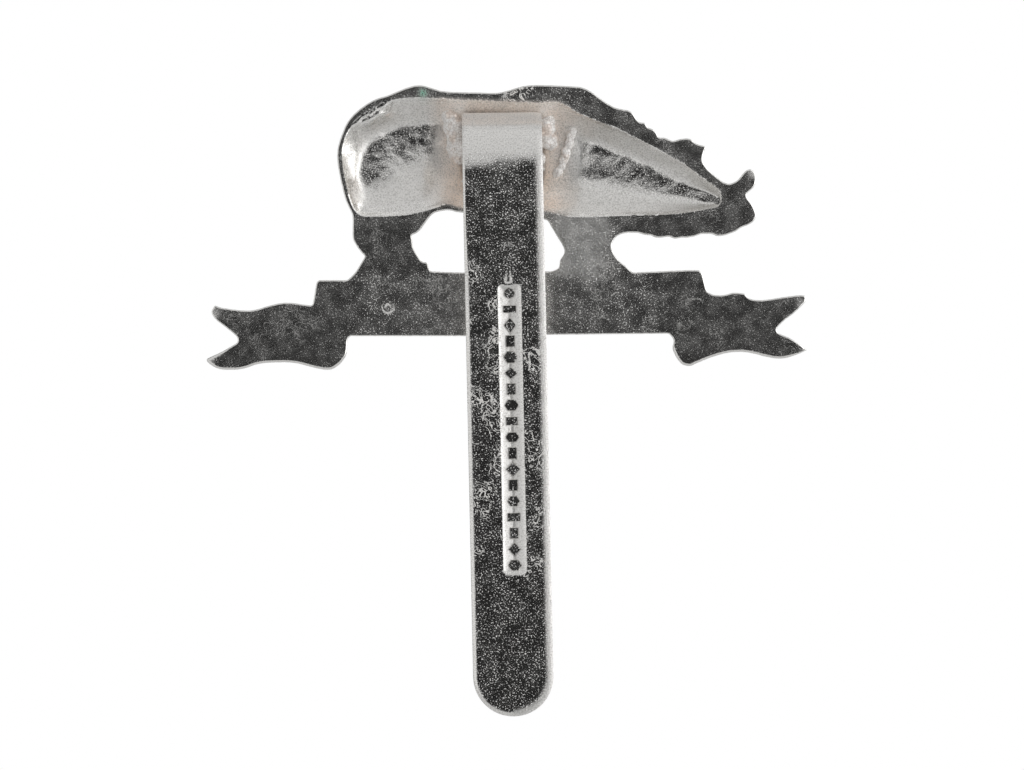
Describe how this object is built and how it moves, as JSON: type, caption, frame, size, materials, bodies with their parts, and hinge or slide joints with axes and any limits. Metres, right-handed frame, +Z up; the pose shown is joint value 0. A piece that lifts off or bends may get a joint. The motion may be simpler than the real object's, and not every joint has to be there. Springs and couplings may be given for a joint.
{
  "type": "cap badge",
  "caption": "Die-struck metal cap badge: a horned beast on a swallow-tailed scroll, hollow behind, with a brazed hairpin slider that springs over a cap band.",
  "frame": {"origin": "on the flat back face of the scroll, at its middle, behind the slider", "axes": "+Z up as the badge is worn, -Y out of the struck front, +Y out of the back with the slider, head of the beast towards -X"},
  "size_m": [0.0481, 0.0092, 0.0502],
  "materials": {
    "plate_nickel": "bright nickel plate over struck brass, satin in the hollow, finely pitted and speckled on the flat back",
    "slider_nickel": "bright nickel plate over rolled brass strip, lightly orange-peeled, with rounded brighter edges",
    "braze_metal": "lumpy solidified braze under the plating, dull, with a warm heat tint"
  },
  "bodies": {
    "badge": {"badge_plate": "plate_nickel", "braze_bead_rump_side": "braze_metal", "braze_bead_head_side": "braze_metal", "braze_run": "braze_metal", "braze_pad": "braze_metal"},
    "slider": {"slider": "slider_nickel"}
  },
  "joints": [
    {"name": "slider_flex", "type": "hinge", "parent": "badge", "child": "slider", "pos_m": [0.0002, 0.0019, 0.0117], "axis": [0.9998, 0, -0.0209], "range_deg": [-1.5, 4.5], "stiffness_Nm_per_rad": 2.5}
  ]
}
